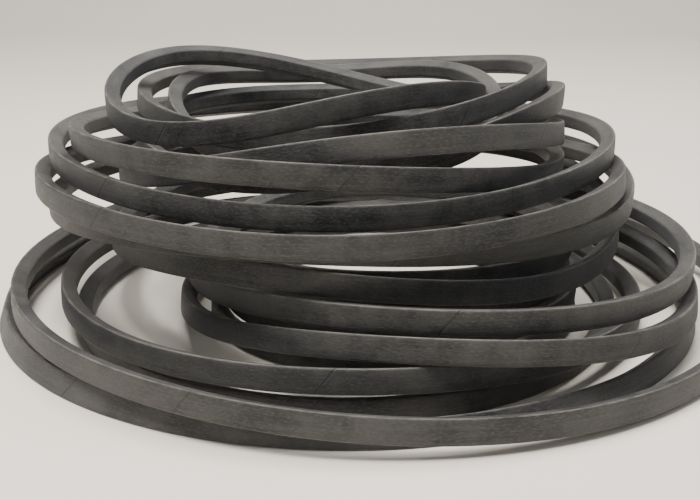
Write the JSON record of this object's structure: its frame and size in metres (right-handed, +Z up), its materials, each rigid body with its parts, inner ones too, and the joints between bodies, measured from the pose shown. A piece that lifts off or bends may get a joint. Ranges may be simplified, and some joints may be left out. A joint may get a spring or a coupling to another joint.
{
  "type": "v belt",
  "caption": "Loose heap of black wrapped V-belts lying one on another on the floor, each an endless belt that lifts off the ones below it",
  "frame": {"origin": "Centre of the heap's box in plan, on the floor it lies on", "axes": "+Z up; +Y runs from the front of the picture's view to the back, +X to its right"},
  "size_m": [0.5552, 0.5482, 0.1804],
  "materials": {
    "fabric": "rubberised woven jacket, matt black with dusty wear on its edges",
    "cord": "polyester cord layer, inside the jacket",
    "rubber": "cushion rubber, inside the jacket"
  },
  "bodies": {
    "belt_01": {"belt_01_fabric_cover": "fabric", "belt_01_tension_cords": "cord", "belt_01_cushion_rubber": "rubber"},
    "belt_02": {"belt_02_fabric_cover": "fabric", "belt_02_tension_cords": "cord", "belt_02_cushion_rubber": "rubber"},
    "belt_03": {"belt_03_fabric_cover": "fabric", "belt_03_tension_cords": "cord", "belt_03_cushion_rubber": "rubber"},
    "belt_04": {"belt_04_fabric_cover": "fabric", "belt_04_tension_cords": "cord", "belt_04_cushion_rubber": "rubber"},
    "belt_05": {"belt_05_fabric_cover": "fabric", "belt_05_tension_cords": "cord", "belt_05_cushion_rubber": "rubber"},
    "belt_06": {"belt_06_fabric_cover": "fabric", "belt_06_tension_cords": "cord", "belt_06_cushion_rubber": "rubber"},
    "belt_07": {"belt_07_fabric_cover": "fabric", "belt_07_tension_cords": "cord", "belt_07_cushion_rubber": "rubber"},
    "belt_08": {"belt_08_fabric_cover": "fabric", "belt_08_tension_cords": "cord", "belt_08_cushion_rubber": "rubber"},
    "belt_09": {"belt_09_fabric_cover": "fabric", "belt_09_tension_cords": "cord", "belt_09_cushion_rubber": "rubber"},
    "belt_10": {"belt_10_fabric_cover": "fabric", "belt_10_tension_cords": "cord", "belt_10_cushion_rubber": "rubber"},
    "belt_11": {"belt_11_fabric_cover": "fabric", "belt_11_tension_cords": "cord", "belt_11_cushion_rubber": "rubber"},
    "belt_12": {"belt_12_fabric_cover": "fabric", "belt_12_tension_cords": "cord", "belt_12_cushion_rubber": "rubber"},
    "belt_13": {"belt_13_fabric_cover": "fabric", "belt_13_tension_cords": "cord", "belt_13_cushion_rubber": "rubber"},
    "belt_14": {"belt_14_fabric_cover": "fabric", "belt_14_tension_cords": "cord", "belt_14_cushion_rubber": "rubber"},
    "belt_15": {"belt_15_fabric_cover": "fabric", "belt_15_tension_cords": "cord", "belt_15_cushion_rubber": "rubber"},
    "belt_16": {"belt_16_fabric_cover": "fabric", "belt_16_tension_cords": "cord", "belt_16_cushion_rubber": "rubber"},
    "belt_17": {"belt_17_fabric_cover": "fabric", "belt_17_tension_cords": "cord", "belt_17_cushion_rubber": "rubber"},
    "belt_18": {"belt_18_fabric_cover": "fabric", "belt_18_tension_cords": "cord", "belt_18_cushion_rubber": "rubber"},
    "belt_19": {"belt_19_fabric_cover": "fabric", "belt_19_tension_cords": "cord", "belt_19_cushion_rubber": "rubber"},
    "belt_20": {"belt_20_fabric_cover": "fabric", "belt_20_tension_cords": "cord", "belt_20_cushion_rubber": "rubber"}
  },
  "joints": [
    {"name": "lift_02", "type": "slide", "parent": "belt_01", "child": "belt_02", "axis": [0, 0, 1], "range_m": [0, 0.06]},
    {"name": "lift_03", "type": "slide", "parent": "belt_02", "child": "belt_03", "axis": [0, 0, 1], "range_m": [0, 0.06]},
    {"name": "lift_04", "type": "slide", "parent": "belt_03", "child": "belt_04", "axis": [0, 0, 1], "range_m": [0, 0.06]},
    {"name": "lift_05", "type": "slide", "parent": "belt_04", "child": "belt_05", "axis": [0, 0, 1], "range_m": [0, 0.06]},
    {"name": "lift_06", "type": "slide", "parent": "belt_05", "child": "belt_06", "axis": [0, 0, 1], "range_m": [0, 0.06]},
    {"name": "lift_07", "type": "slide", "parent": "belt_06", "child": "belt_07", "axis": [0, 0, 1], "range_m": [0, 0.06]},
    {"name": "lift_08", "type": "slide", "parent": "belt_07", "child": "belt_08", "axis": [0, 0, 1], "range_m": [0, 0.06]},
    {"name": "lift_09", "type": "slide", "parent": "belt_08", "child": "belt_09", "axis": [0, 0, 1], "range_m": [0, 0.06]},
    {"name": "lift_10", "type": "slide", "parent": "belt_09", "child": "belt_10", "axis": [0, 0, 1], "range_m": [0, 0.06]},
    {"name": "lift_11", "type": "slide", "parent": "belt_10", "child": "belt_11", "axis": [0, 0, 1], "range_m": [0, 0.06]},
    {"name": "lift_12", "type": "slide", "parent": "belt_11", "child": "belt_12", "axis": [0, 0, 1], "range_m": [0, 0.06]},
    {"name": "lift_13", "type": "slide", "parent": "belt_12", "child": "belt_13", "axis": [0, 0, 1], "range_m": [0, 0.06]},
    {"name": "lift_14", "type": "slide", "parent": "belt_13", "child": "belt_14", "axis": [0, 0, 1], "range_m": [0, 0.06]},
    {"name": "lift_15", "type": "slide", "parent": "belt_14", "child": "belt_15", "axis": [0, 0, 1], "range_m": [0, 0.06]},
    {"name": "lift_16", "type": "slide", "parent": "belt_15", "child": "belt_16", "axis": [0, 0, 1], "range_m": [0, 0.06]},
    {"name": "lift_17", "type": "slide", "parent": "belt_16", "child": "belt_17", "axis": [0, 0, 1], "range_m": [0, 0.06]},
    {"name": "lift_18", "type": "slide", "parent": "belt_17", "child": "belt_18", "axis": [0, 0, 1], "range_m": [0, 0.06]},
    {"name": "lift_19", "type": "slide", "parent": "belt_18", "child": "belt_19", "axis": [0, 0, 1], "range_m": [0, 0.06]},
    {"name": "lift_20", "type": "slide", "parent": "belt_19", "child": "belt_20", "axis": [0, 0, 1], "range_m": [0, 0.06]}
  ]
}
